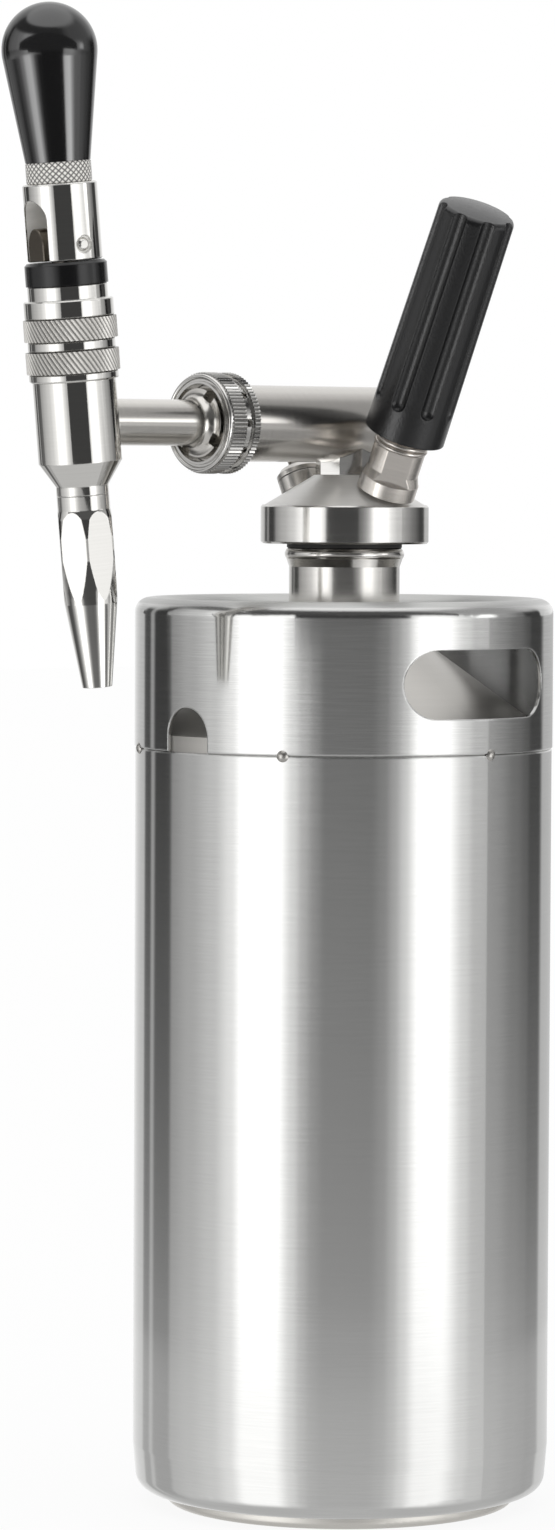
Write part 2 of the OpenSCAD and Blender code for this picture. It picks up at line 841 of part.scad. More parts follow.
module tap_cap() {
    color(bright_steel)
        difference() {
            union() {
                bar(plug_z, cap_z, plug_r);
                taper(cap_z, cap_z + cap_chamfer, cap_r - cap_chamfer, cap_r);
                bar(cap_z + cap_chamfer, cone_z - cap_chamfer, cap_r);
                taper(cone_z - cap_chamfer, cone_z, cap_r, cap_r - cap_chamfer);
                taper(cone_z, cone_top_z, cone_d / 2, cone_top_d / 2);
            }
            bar(plug_z - over, dip_top_z, dip_r);
            bar(plug_z, cone_top_z + over, dip_bore_r);
            at_port(1)
                bar(-port_seat, cone_d, inlet_ring_d / 2 + port_room);
            at_port(-1)
                bar(-port_seat, cone_d, relief_r + port_room);
            for (side = [-1, 1]) {
                at_port(side)
                    bar(-port_seat - stub_l - gas_bore_d, 0, stub_d / 2);
                translate([side * gas_out, 0, 0])
                    bar(plug_z - over, cap_z + cap_h / 2, gas_bore_r);
            }
        }
}

module cap_seal() {
    color(black_rubber)
        pipe(neck_top, cap_z, neck_r + bead_out / 2, plug_r);
}

module cap_hub() {
    color(bright_steel)
        difference() {
            rotate([0, 0, hub_turn])
                translate([0, 0, cone_top_z])
                    cylinder(h = arm_up, r = hub_corner_r, $fn = hub_sides);
            along_arm(-cone_d)
                cylinder(h = 2 * cone_d, r = arm_r);
            bar(cone_top_z - over, arm_z, dip_bore_r);
        }
}

module arm_tube() {
    color(satin_steel)
        difference() {
            along_arm(-arm_back)
                pipe(0, arm_back + arm_front, arm_r, arm_bore_r);
            bar(arm_z - arm_d, arm_z, dip_bore_r);
            along_arm(snap_at)
                pipe(0, snap_t, arm_r + over, arm_r - snap_in);
        }
}

module arm_end_plug() {
    color(satin_steel)
        along_arm(-arm_back) {
            bar(0, arm_plug_l, arm_bore_r);
            taper(-arm_plug_cap, 0, arm_r - arm_plug_cap / 2, arm_r);
        }
}

module dip_tube() {
    color(steel)
        pipe(foot_h + sheet_t + dip_gap, dip_top_z, dip_r, dip_bore_r);
}

module dip_tube_collar() {
    color(black_rubber)
        pipe(plug_z - dip_collar_h, plug_z, dip_collar_d / 2, dip_r);
}

// The inlet is turned from one bar, with two flats for a wrench above its ring
module inlet_body() {
    color(bright_steel)
        at_port(1)
            difference() {
                union() {
                    bar(-port_seat - stub_l, nose_at, stub_d / 2);
                    bar(-port_seat, inlet_ring_top, inlet_ring_d / 2);
                    intersection() {
                        union() {
                            bar(inlet_ring_top, inlet_top, inlet_d / 2);
                            taper(inlet_ring_top, inlet_flare_top, inlet_ring_d / 2 - fit, inlet_d / 2);
                        }
                        rotate([0, 0, inlet_flat_turn])
                            translate([-inlet_af / 2, -inlet_d, 0])
                                cube([inlet_af, 2 * inlet_d, inlet_top]);
                    }
                    bar(inlet_top, nose_at, inlet_waist_r);
                    bar(nose_at, nose_top, nose_d / 2);
                }
                bar(-port_seat - stub_l - over, nose_top, gas_bore_r);
                bar(pin_at, nose_top + over, pierce_base_r);
                bar(seal_at, nose_top + over, cartridge_neck_d / 2 + gap);
            }
}

// Two washers with round edges
module inlet_washers() {
    edge_r = (inlet_washer_t - fit) / 2;
    color(steel)
        at_port(1)
            for (i = [0, 1])
                translate([0, 0, inlet_top + i * inlet_washer_t]) {
                    pipe(0, 2 * edge_r, inlet_washer_d / 2 - edge_r, inlet_waist_r);
                    round_ring(edge_r, inlet_washer_d / 2 - edge_r, 2 * edge_r);
                }
}

module piercing_pin() {
    point_l = pierce_d;
    point_r = pierce_d / 4;
    bore_r = pierce_d / 5;
    color(bright_steel)
        at_port(1)
            difference() {
                union() {
                    bar(pin_at, seal_at, pierce_base_r);
                    bar(seal_at, pin_at + pierce_l - point_l, pierce_d / 2);
                    taper(pin_at + pierce_l - point_l, pin_at + pierce_l, pierce_d / 2, point_r);
                }
                bar(pin_at - over, pin_at + pierce_l + over, bore_r);
            }
}

module cartridge_seal() {
    color(black_rubber)
        at_port(1)
            pipe(seal_at, seal_at + cartridge_seal_t, cartridge_neck_d / 2 + gap, pierce_d / 2 + gap);
}

// The sleeve's outline: a slight taper, a round top edge and a low dome
module sleeve_outline() {
    top_r = sleeve_top_d / 2;
    edge = [top_r - sleeve_round, sleeve_top - sleeve_dome - sleeve_round];
    polygon([
        [0, sleeve_at],
        [sleeve_d / 2, sleeve_at],
        [top_r, edge[1]],
        [edge[0], edge[1] + sleeve_round],
        [0, edge[1] + sleeve_round]
    ]);
    translate(edge)
        circle(r = sleeve_round);
}

module sleeve_groove() {
    reach = sleeve_d / 2 + rib_d / 2 - rib_deep;
    translate([reach, 0, sleeve_at])
        rotate([0, -sleeve_tilt, 0]) {
            translate([0, 0, rib_start + rib_d / 2])
                sphere(d = rib_d);
            bar(rib_start + rib_d / 2, sleeve_l + rib_d, rib_d / 2);
        }
}

module charger_sleeve() {
    dome_r = (pow(sleeve_top_d / 2 - sleeve_round, 2) + sleeve_dome * sleeve_dome) / (2 * sleeve_dome);
    dome_at = sleeve_top - sleeve_dome;
    color(black_plastic)
        at_port(1)
            difference() {
                union() {
                    rotate_extrude()
                        sleeve_outline();
                    intersection() {
                        translate([0, 0, sleeve_top - dome_r])
                            sphere(r = dome_r);
                        bar(dome_at - over, sleeve_top + over, sleeve_top_d / 2 - sleeve_round);
                    }
                }
                for (i = [0 : sleeve_ribs - 1])
                    rotate([0, 0, (i + 0.5) * 360 / sleeve_ribs])
                        sleeve_groove();
                bar(sleeve_at - over, cavity_at, nose_d / 2 + fit);
                bar(sleeve_at, cartridge_top + fit, cavity_r);
            }
}

module gas_cartridge() {
    wall = cartridge_wall;
    color(steel)
        at_port(1)
            difference() {
                union() {
                    bar(neck_tip_at, shoulder_at, cartridge_neck_d / 2);
                    taper(shoulder_at, cartridge_wide_at, cartridge_neck_d / 2, cartridge_r);
                    bar(cartridge_wide_at, cartridge_top - cartridge_r, cartridge_r);
                    translate([0, 0, cartridge_top - cartridge_r])
                        intersection() {
                            sphere(r = cartridge_r);
                            bar(0, cartridge_r, cartridge_r);
                        }
                }
                bar(neck_tip_at - over, shoulder_at, pierce_d / 2 + gap);
                bar(shoulder_at - over, cartridge_wide_at, cartridge_neck_d / 2 - wall);
                bar(cartridge_wide_at, cartridge_top - cartridge_r, cartridge_r - wall);
                translate([0, 0, cartridge_top - cartridge_r])
                    sphere(r = cartridge_r - wall);
            }
}

module relief_body() {
    color(bright_steel)
        at_port(-1)
            difference() {
                union() {
                    bar(-port_seat - stub_l, -port_seat, stub_d / 2);
                    bar(-port_seat, relief_top, relief_r);
                }
                bar(relief_floor, relief_top + over, relief_bore_r);
                bar(-port_seat - stub_l - over, relief_floor + over, gas_bore_r);
            }
}

module relief_guide() {
    color(steel)
        at_port(-1)
            pipe(relief_guide_at, relief_top, relief_bore_r, relief_stem_r + fit);
}

module relief_spring() {
    color(steel)
        at_port(-1)
            coil(relief_spring_from, relief_spring_to, relief_turns, relief_coil_r, relief_wire_d);
}

module relief_poppet() {
    color(black_rubber)
        at_port(-1) {
            bar(poppet_at, poppet_at + poppet_h, poppet_r);
            bar(poppet_at + poppet_h, pull_at, relief_stem_r);
        }
}

module relief_pull_cap() {
    chamfer = pull_h / 2;
    nub_r = relief_r / 3;
    color(bright_steel)
        at_port(-1) {
            bar(pull_at, pull_at + pull_h - chamfer, relief_r);
            taper(pull_at + pull_h - chamfer, pull_at + pull_h, relief_r, relief_r - chamfer);
            difference() {
                bar(pull_at + pull_h, pull_at + pull_h + pull_nub_h, nub_r);
                translate([0, 0, pull_at + pull_h + pull_nub_h / 2])
                    rotate([90, 0, 0])
                        cylinder(h = relief_d, d = pull_hole_d, center = true);
            }
        }
}

// The nut, with its height counted forwards from the keg's axis
module coupling_nut() {
    groove_r = nut_r - nut_groove_deep;
    front = nut_back + nut_l;
    tail_at = nut_back + nut_tail;
    band_at = tail_at + nut_groove;
    rim_at = band_at + nut_band;
    bead_at = front - nut_rim / 2;
    rim_r = nut_r - nut_knurl - fit;
    color(steel)
        along_arm(0)
            difference() {
                union() {
                    translate([0, 0, nut_back])
                        linear_extrude(height = nut_tail)
                            knurl_outline(nut_r, nut_knurl, nut_teeth);
                    bar(tail_at, band_at, groove_r);
                    translate([0, 0, band_at])
                        linear_extrude(height = nut_band)
                            knurl_outline(nut_r, nut_knurl, nut_teeth);
                    bar(rim_at, bead_at, rim_r);
                    round_ring(bead_at, rim_r - nut_rim / 2, nut_rim);
                    bar(bead_at, front - fit, nut_in_r + nut_land);
                }
                bar(nut_back - over, front, arm_r + fit);
                bar(nut_back + nut_lip, nut_back + nut_lip + nut_recess_l, nut_recess_r);
                bar(nut_back + nut_lip + nut_recess_l, front + over, nut_in_r);
                for (i = [0 : nut_holes - 1])
                    rotate([0, 0, i * 360 / nut_holes])
                        translate([0, 0, tail_at + nut_groove / 2])
                            rotate([0, 90, 0])
                                bar(arm_r, nut_r, nut_hole_d / 2);
            }
}

module nut_retaining_ring() {
    color(steel)
        along_arm(snap_at)
            pipe(0, snap_t, arm_r + snap_out, arm_r - snap_in);
}

module coupling_washer() {
    color(black_rubber)
        along_arm(arm_front)
            pipe(0, washer_t, arm_r - snap_in, shank_bore_d / 2);
}

module faucet_shank() {
    color(satin_steel)
        difference() {
            along_arm(flare_at)
                difference() {
                    union() {
                        bar(0, flare_l, flare_d / 2);
                        bar(flare_l, bell_at, bell_r);
                        translate([0, 0, bell_at])
                            rotate_extrude()
                                difference() {
                                    square([bell_r, bell_round]);
                                    translate([bell_r, bell_round])
                                        circle(r = bell_round);
                                }
                        bar(0, faucet_out - flare_at, shank_d / 2);
                    }
                    for (i = [0 : bell_notches - 1])
                        rotate([0, 0, bell_turn + i * 360 / bell_notches])
                            translate([bell_r - bell_notch_deep, -bell_notch_w / 2, flare_l])
                                cube([bell_d, bell_notch_w, bell_at]);
                    bar(-over, faucet_out, shank_bore_d / 2);
                }
            at_faucet()
                bar(-body_down, body_up, body_r);
        }
}

module faucet_body() {
    color(bright_steel)
        difference() {
            at_faucet()
                difference() {
                    union() {
                        bar(spout_at, cone_at, body_neck_d / 2);
                        taper(cone_at, -body_down, body_neck_d / 2, body_r);
                        bar(-body_down, body_up, body_r);
                        bar(body_up, bonnet_at, spigot_r);
                    }
                    bar(spout_at - over, seat_at - seat_t, socket_d / 2);
                    bar(spout_at, seat_at + over, seat_d / 2);
                    bar(seat_at, bonnet_at + over, chamber_d / 2);
                }
            along_arm(flare_at)
                bar(0, faucet_out - flare_at, shank_bore_d / 2);
        }
}

module restrictor_disc() {
    color(steel)
        at_faucet()
            difference() {
                bar(disc_at, disc_at + disc_t, socket_d / 2);
                for (i = [0 : disc_holes - 1])
                    rotate([0, 0, i * 360 / disc_holes])
                        translate([seat_d / 4, 0, 0])
                            bar(disc_at - over, disc_at + disc_t + over, disc_hole_d / 2);
            }
}

// The outside of the spout as it was turned, before its flats
module spout_outline() {
    belly_at = spout_at - belly_down;
    brow_r = spout_flat_r - fit;
    polygon([
        [0, spout_tip],
        [spout_tip_d / 2, spout_tip],
        [brow_r, spout_at - flat_end],
        [belly_d / 2, belly_at - belly_l],
        [belly_d / 2, belly_at],
        [shoulder_d / 2, spout_at - shoulder_down],
        [brow_r, spout_at - flat_down],
        [body_neck_d / 2, spout_at - fit],
        [0, spout_at - fit]
    ]);
}

// A turned spout with flats that run out above and below its belly
module spout() {
    half_flat = 180 / flat_count;
    ridge_r = spout_flat_r / cos(half_flat);
    groove_half = (spout_seal_d + fit) / 2;
    groove_r = spout_seal_r - spout_seal_d / 2;
    color(bright_steel)
        at_faucet()
            difference() {
                union() {
                    intersection() {
                        rotate_extrude()
                            spout_outline();
                        rotate([0, 0, flat_turn - half_flat])
                            translate([0, 0, spout_tip - over])
                                cylinder(h = spout_l + 2 * over, r = ridge_r, $fn = flat_count);
                    }
                    bar(spout_at - 2 * fit, spigot_top, socket_d / 2 - fit);
                }
                taper(spout_tip - over, spigot_top + over, spout_bore_d / 2, spout_in_d / 2);
                pipe(spout_seal_at - groove_half, spout_seal_at + groove_half, socket_d, groove_r);
            }
}

module spout_seal() {
    color(black_rubber)
        at_faucet()
            round_ring(spout_seal_at, spout_seal_r, spout_seal_d);
}

module body_ring() {
    color(bright_steel)
        at_faucet()
            difference() {
                turned_bar(body_up, body_up + body_ring_h - fit, body_ring_d / 2);
                bar(body_up - over, body_up + body_ring_h, spigot_r);
            }
}

// A ring with a slanting knurl that turns on the spigot
module knurl_ring(at) {
    color(steel)
        at_faucet()
            difference() {
                translate([0, 0, at])
                    linear_extrude(height = knurl_h - fit, twist = knurl_slant, slices = knurl_steps)
                        knurl_outline(knurl_d / 2, knurl_deep, knurl_teeth);
                bar(at - over, at + knurl_h + over, spigot_r + fit);
            }
}

module lower_knurl_ring() {
    knurl_ring(knurl_low_at);
}

module upper_knurl_ring() {
    knurl_ring(knurl_high_at);
}

module waist_sleeve() {
    color(bright_steel)
        at_faucet()
            difference() {
                turned_bar(waist_at, waist_at + waist_h - fit, waist_d / 2);
                bar(waist_at - over, waist_at + waist_h, spigot_r);
            }
}

module bonnet_cap() {
    color(bright_steel)
        at_faucet()
            difference() {
                union() {
                    turned_bar(bonnet_at, bonnet_step, bonnet_d / 2);
                    bar(bonnet_step, wear_at - edge_chamfer, bonnet_top_d / 2);
                    taper(wear_at - edge_chamfer, wear_at, bonnet_top_d / 2, bonnet_top_d / 2 - edge_chamfer);
                }
                bar(bonnet_at - over, wear_at + over, guide_r);
            }
}

module wear_ring() {
    top = wear_at + wear_h;
    color(black_plastic)
        at_faucet()
            difference() {
                union() {
                    bar(wear_at, top - wear_chamfer, wear_d / 2);
                    taper(top - wear_chamfer, top, wear_d / 2, wear_d / 2 - wear_chamfer);
                }
                bar(wear_at - over, top + over, stem_r + gap);
            }
}

// Two rounds that cross in a pointed arch, seen from the front
module pointed_arch(off, r, at) {
    intersection() {
        arch_side(off, r, at);
        arch_side(-off, r, at);
    }
}

module arch_side(off, r, at) {
    translate([off, 0, at])
        rotate([90, 0, 0])
            cylinder(h = 2 * stem_d, r = r, center = true);
}

// The stem is a round rod whose top is a pointed tongue that carries the pivot pin
module valve_stem() {
    arch_r = (stem_r * stem_r + tongue_up * tongue_up) / stem_d;
    color(satin_steel)
        at_lever()
            difference() {
                union() {
                    bar(stem_foot - stem_peg_l, stem_foot, stem_peg_r);
                    bar(stem_foot, pivot_at, stem_r);
                    intersection() {
                        bar(pivot_at, pivot_at + tongue_up, stem_r);
                        pointed_arch(arch_r - stem_r, arch_r, pivot_at);
                    }
                }
                for (at = oring_at)
                    pipe(at - oring_groove / 2, at + oring_groove / 2, stem_d, oring_r - oring_d / 2);
                translate([0, 0, pivot_at])
                    rotate([0, 90, 0])
                        cylinder(h = 2 * stem_d, r = pivot_d / 2 + fit, center = true);
            }
}

module stem_seal_rings() {
    color(black_rubber)
        at_faucet()
            for (at = oring_at)
                round_ring(at, oring_r, oring_d);
}

module plunger_seal() {
    color(black_rubber)
        at_faucet()
            difference() {
                bar(seat_at + fit, stem_foot, plunger_d / 2);
                bar(stem_foot - stem_peg_l, stem_foot + over, stem_peg_r);
            }
}

// The hood's slot takes the stem when the lever tips forwards, and its round front edge is the cam
module lever_hood() {
    arch_r = hood_slot_w / 2;
    arch_at = hood_at + hood_slot_h - arch_r;
    color(bright_steel)
        at_lever()
            difference() {
                turned_bar(hood_at, hood_top, hood_r);
                translate([-arch_r, -hood_d, hood_at - over])
                    cube([hood_slot_w, hood_d + hood_slot_back, arch_at - hood_at + over]);
                translate([0, hood_slot_back, arch_at])
                    rotate([90, 0, 0])
                        cylinder(h = hood_d + hood_slot_back, r = arch_r);
                difference() {
                    translate([-hood_r, -hood_r - over, hood_at - over])
                        cube([hood_d, cam_r + over, cam_r + over]);
                    translate([0, cam_r - hood_r, hood_at + cam_r])
                        rotate([0, 90, 0])
                            cylinder(h = hood_d + over, r = cam_r, center = true);
                }
                bar(arch_at, hood_top + over, stud_d / 2);
                translate([0, 0, pivot_at])
                    rotate([0, 90, 0]) {
                        cylinder(h = 2 * hood_d, r = pivot_d / 2, center = true);
                        for (side = [-1, 1])
                            translate([0, 0, side * (hood_r - pivot_recess + hood_d / 2)])
                                cylinder(h = hood_d, d = pivot_recess_d, center = true);
                    }
            }
}

module pivot_pin() {
    head = pivot_d / 6;
    color(steel)
        at_lever()
            translate([0, 0, pivot_at])
                rotate([0, 90, 0]) {
                    cylinder(h = hood_d - 2 * head, r = pivot_d / 2, center = true);
                    taper(hood_r - head, hood_r, pivot_d / 2, pivot_d / 2 - head);
                    taper(-hood_r, head - hood_r, pivot_d / 2 - head, pivot_d / 2);
                }
}

module handle_lock_ring() {
    edge_r = lock_d / 2 - lock_chamfer;
    color(steel)
        at_faucet()
            difference() {
                union() {
                    taper(lock_at, lock_at + lock_chamfer, edge_r, lock_d / 2);
                    bar(lock_at + lock_chamfer, handle_at - lock_chamfer, lock_d / 2);
                    taper(handle_at - lock_chamfer, handle_at, lock_d / 2, edge_r);
                }
                bar(lock_at - over, handle_at + over, stud_d / 2);
            }
}

module tap_handle() {
    meet_r = head_r * cos(handle_flare);
    meet_at = head_at - head_r * sin(handle_flare);
    color(black_plastic)
        at_faucet()
            rotate_extrude()
                difference() {
                    intersection() {
                        union() {
                            polygon([
                                [0, handle_at],
                                [handle_foot_r, handle_at],
                                [meet_r, meet_at],
                                [0, meet_at]
                            ]);
                            translate([0, head_at])
                                rotate(-handle_flare)
                                    circle(r = head_r);
                        }
                        translate([0, handle_at])
                            square([handle_d, handle_l + handle_d]);
                    }
                    translate([0, handle_at - over])
                        square([stud_d / 2, stud_l + over]);
                }
}

module handle_stud() {
    color(steel)
        at_faucet()
            bar(hood_at + hood_slot_h + gap, handle_at + stud_l - gap, stud_d / 2);
}

keg_body();
keg_foot_ring();
keg_shoulder();
keg_neck();
keg_collar();
collar_weld_tacks();
tap_cap();
cap_seal();
cap_hub();
arm_tube();
arm_end_plug();
dip_tube();
dip_tube_collar();
inlet_body();
inlet_washers();
piercing_pin();
cartridge_seal();
charger_sleeve();
gas_cartridge();
relief_body();
relief_guide();
relief_spring();
relief_poppet();
relief_pull_cap();
coupling_nut();
nut_retaining_ring();
coupling_washer();
faucet_shank();
faucet_body();
restrictor_disc();
spout();
spout_seal();
body_ring();
lower_knurl_ring();
waist_sleeve();
upper_knurl_ring();
bonnet_cap();
wear_ring();
valve_stem();
stem_seal_rings();
plunger_seal();
lever_hood();
pivot_pin();
handle_lock_ring();
tap_handle();
handle_stud();
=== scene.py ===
from math import cos, pi, radians, sin

import bpy
from mathutils import Matrix, Vector


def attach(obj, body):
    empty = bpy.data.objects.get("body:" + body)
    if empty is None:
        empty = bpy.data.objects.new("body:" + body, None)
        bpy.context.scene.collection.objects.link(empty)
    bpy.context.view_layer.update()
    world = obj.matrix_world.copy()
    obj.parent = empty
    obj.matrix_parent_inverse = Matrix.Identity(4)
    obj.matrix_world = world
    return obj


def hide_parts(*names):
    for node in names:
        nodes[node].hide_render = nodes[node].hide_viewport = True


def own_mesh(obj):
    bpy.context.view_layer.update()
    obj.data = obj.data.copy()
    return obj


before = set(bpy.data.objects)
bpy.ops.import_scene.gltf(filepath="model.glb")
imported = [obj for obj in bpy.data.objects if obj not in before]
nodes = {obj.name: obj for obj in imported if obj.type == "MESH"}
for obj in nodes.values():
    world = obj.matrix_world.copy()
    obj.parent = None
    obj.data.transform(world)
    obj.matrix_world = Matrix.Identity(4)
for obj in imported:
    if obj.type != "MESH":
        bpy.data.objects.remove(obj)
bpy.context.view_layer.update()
scene = bpy.context.scene

# Axes that the pieces were turned about, in metres
ARM_Z = 0.3452
FAUCET_AT = Vector((0, -0.1113, ARM_Z))
FAUCET_LEAN = radians(5.84)
PORT_AT = Vector((0.0196, 0, 0.325))
PORT_LEAN = radians(25.3)
LEVER_TURN = radians(-7)
AXES = {
    "keg": Matrix.Identity(4),
    "arm": Matrix.Rotation(radians(90), 4, "X").inverted() @ Matrix.Translation((0, 0, -ARM_Z)),
    "faucet": Matrix.Rotation(-FAUCET_LEAN, 4, "X") @ Matrix.Translation(-FAUCET_AT),
    "port": Matrix.Rotation(-PORT_LEAN, 4, "Y") @ Matrix.Translation(-PORT_AT),
    "relief": Matrix.Rotation(PORT_LEAN, 4, "Y") @ Matrix.Translation((PORT_AT.x, 0, -PORT_AT.z)),
}

# The camera at the photograph's place: its side of the keg, its aim, and the photograph's pixels
VIEW_TURN = radians(47.4)
CAMERA_AT = Vector((1.3941, -1.2819, 0.33243))
CAMERA_PAN = radians(-0.6365)
CAMERA_PITCH = radians(2.902)
CAMERA_ROLL = radians(0.2716)
PHOTO_HEIGHT = 1530
FOCAL_LENGTH = 5932.94
SENSOR_HEIGHT = 36


def add_camera():
    side = Vector((cos(VIEW_TURN), sin(VIEW_TURN), 0))
    away = Vector((-sin(VIEW_TURN), cos(VIEW_TURN), 0))
    up = Vector((0, 0, 1))
    level = side * sin(CAMERA_PAN) + away * cos(CAMERA_PAN)
    forward = level * cos(CAMERA_PITCH) - up * sin(CAMERA_PITCH)
    right = side * cos(CAMERA_PAN) - away * sin(CAMERA_PAN)
    top = right.cross(forward)
    rolled_right = right * cos(CAMERA_ROLL) + top * sin(CAMERA_ROLL)
    rolled_top = top * cos(CAMERA_ROLL) - right * sin(CAMERA_ROLL)
    data = bpy.data.cameras.new("photo_camera")
    data.sensor_fit = "VERTICAL"
    data.sensor_height = SENSOR_HEIGHT
    data.lens = FOCAL_LENGTH * SENSOR_HEIGHT / PHOTO_HEIGHT
    data.clip_start = 0.05
    data.clip_end = 60
    camera = bpy.data.objects.new("photo_camera", data)
    place = Matrix((rolled_right, rolled_top, -forward)).transposed().to_4x4()
    place.translation = CAMERA_AT
    camera.matrix_world = place
    scene.collection.objects.link(camera)
    scene.camera = camera


# Helpers for meshes and shader nodes
def add_mesh(name, points, faces):
    mesh = bpy.data.meshes.new(name)
    mesh.from_pydata(points, [], faces)
    obj = bpy.data.objects.new(name, mesh)
    scene.collection.objects.link(obj)
    return obj


def grey(level):
    return (level, level, level, 1)


def link(tree, out, into):
    tree.links.new(out, into)


def feed(tree, socket, value):
    """Sets a socket to a number, or links it to the output of another node."""
    if isinstance(value, (int, float)):
        socket.default_value = value
    else:
        link(tree, value, socket)


def math_node(tree, operation, *values):
    node = tree.nodes.new("ShaderNodeMath")
    node.operation = operation
    for socket, value in zip(node.inputs, values):
        feed(tree, socket, value)
    return node.outputs[0]


def two_products(tree, a, b, c, d):
    """a times b, plus c times d."""
    return math_node(tree, "ADD", math_node(tree, "MULTIPLY", a, b), math_node(tree, "MULTIPLY", c, d))


def split_node(tree, vector):
    node = tree.nodes.new("ShaderNodeSeparateXYZ")
    link(tree, vector, node.inputs[0])
    return node.outputs


def ramp_node(tree, value, stops, interpolation="LINEAR"):
    node = tree.nodes.new("ShaderNodeValToRGB")
    ramp = node.color_ramp
    ramp.interpolation = interpolation
    while len(ramp.elements) < len(stops):
        ramp.elements.new(0.5)
    for element, (at, level) in zip(ramp.elements, stops):
        element.position = at
        element.color = grey(level)
    link(tree, value, node.inputs["Fac"])
    return node.outputs["Color"]


def profile(tree, value, stops):
    """A level that changes along a length in metres, or along another value."""
    low, high = stops[0][0], stops[-1][0]
    share = math_node(tree, "MULTIPLY_ADD", value, 1 / (high - low), -low / (high - low))
    return ramp_node(tree, share, [((at - low) / (high - low), level) for at, level in stops])


def group_node(tree, group, **values):
    node = tree.nodes.new("ShaderNodeGroup")
    node.node_tree = group
    for key, value in values.items():
        feed(tree, node.inputs[key.replace("_", " ")], value)
    return node.outputs


def background_node(tree, strength):
    node = tree.nodes.new("ShaderNodeBackground")
    node.inputs["Color"].default_value = grey(1)
    feed(tree, node.inputs["Strength"], strength)
    return node.outputs[0]


def choose_shader(tree, share, without, fully):
    node = tree.nodes.new("ShaderNodeMixShader")
    for socket, value in zip(node.inputs, (share, without, fully)):
        link(tree, value, socket)
    return node.outputs[0]


# The studio that polished metal shows: two soft boxes, dark flags and a pale sweep.
# Bands give the brightness at the keg's height, by degrees to the right of the camera.
STUDIO_BANDS = [
    (-180, 1.0), (-144, 0.62), (-141, 0.10), (-134, 0.08), (-131.5, 0.42), (-129, 0.42), (-127, 0.05),
    (-111.5, 0.045), (-108, 0.34), (-93, 0.49), (-76, 0.70), (-64, 1.10), (-55, 1.9), (-37, 1.9),
    (-27, 0.92), (-21.5, 0.50), (-16, 0.29), (-9, 0.22), (15, 0.21), (22.7, 0.31), (28.4, 0.54), (34, 0.92),
    (43, 1.7), (57, 1.8), (71, 0.92), (78, 0.64), (93, 0.34), (110, 0.19), (122, 0.12), (127, 0.06),
    (139, 0.06), (145, 0.55),
]
BAND_PEAK = 1.9
# The same for the tap, which stands nearer to the soft boxes
TAP_BANDS = [
    (-180, 1.0), (-144, 0.62), (-141, 0.10), (-134, 0.08), (-131.5, 0.42), (-129, 0.42), (-127, 0.06),
    (-115, 0.05), (-112, 0.45), (-92, 0.74), (-72, 1.1), (-62, 1.6), (-19, 1.6), (-15, 0.8), (-10, 0.06),
    (34, 0.05), (39, 1.2), (43, 1.6), (58, 1.5), (68, 1.2), (78, 0.95), (98, 0.45), (115, 0.22), (121, 0.06),
    (136, 0.06), (142, 0.70), (160, 0.95), (180, 1.0),
]
# The feet of the soft boxes, for faces that lean down a little, such as the flare of the handle
LOW_BANDS = [
    (-180, 0.6), (-150, 0.45), (-138, 0.10), (-98, 0.10), (-84, 0.40), (-71, 1.3), (-60, 3.2), (-49, 3.6),
    (-41, 1.8), (-33, 0.4), (-25, 0.08), (24, 0.08), (34, 0.7), (43, 4.0), (54, 5.0), (61, 2.6), (69, 0.4),
    (76, 0.14), (80, 0.38), (92, 0.38), (97, 0.10), (132, 0.10), (146, 0.5), (180, 0.9),
]
LOW_PEAK = 5.0
# A dark ceiling over the soft boxes, which lightens above the sweep behind the object
CEILING_BANDS = [
    (-180, 1.0), (-158, 0.95), (-134, 0.70), (-112, 0.14), (30, 0.14), (60, 0.42), (112, 0.42), (134, 0.65),
    (158, 1.0), (180, 1.0),
]
# Where the soft boxes stand high, and elsewhere the ceiling comes down behind them
TALL_BANDS = [(-180, 0), (-134, 0), (-112, 1), (20, 1), (36, 0), (180, 0)]
# The low strip light beside the arm, by direction and by height
STRIP_BANDS = [(-180, 0), (77, 0), (81, 1), (90, 1), (94, 0), (180, 0)]
STRIP_HEIGHTS = [(-90, 0), (1.8, 0), (3.2, 1), (8, 1), (17, 0), (90, 0)]
STRIP_LEVEL = 2.2
# Degrees above the horizon between which one part of the studio gives way to the next
TAP_STARTS = (-0.5, 0.6)
LOW_ENDS = (-15, -10.2)
CEILING_STARTS = (10, 22)
TALL_CEILING_STARTS = (29, 35)
OVERHEAD_STARTS = (46, 58)
TALL_OVERHEAD_STARTS = (50, 55)
FLOOR_ENDS = (-46, -28)
OVERHEAD_LEVEL = 1.2
FLOOR_LEVEL = 0.55
# The far floor, which veils the soft boxes near the ground
HAZE_LEVEL = 1.0
HAZE_MOST = 0.476
HAZE = [(-9.6, HAZE_MOST), (-8.2, 0.31), (-6.2, 0.13), (-4.2, 0.05), (-2.5, 0), (90, 0)]
FAR_HAZE = [(-90, HAZE_MOST)] + HAZE
MID_HAZE = [(-90, 0), (-11, 0)] + HAZE
NEAR_HAZE = [(-90, HAZE_MOST), (90, HAZE_MOST)]
# The white floor that the camera sees, in metres: half its width, its colour, and its share of plain white
FLOOR_HALF = 6.0
FLOOR_COLOUR = 0.9
FLOOR_WHITENESS = 0.9
# The floor as polished metal shows it: near the keg it veils the soft boxes, and further out it mirrors them
FLOOR_CARDS = [
    dict(name="near_floor", radius=0.42, z=0, haze=NEAR_HAZE, steep=(-48, -24), level=0.62),
    dict(name="mid_floor", radius=0.95, z=-0.0005, haze=MID_HAZE, steep=FLOOR_ENDS, level=FLOOR_LEVEL,
         fade_from=0.55),
]
CARD_SIDES = 64
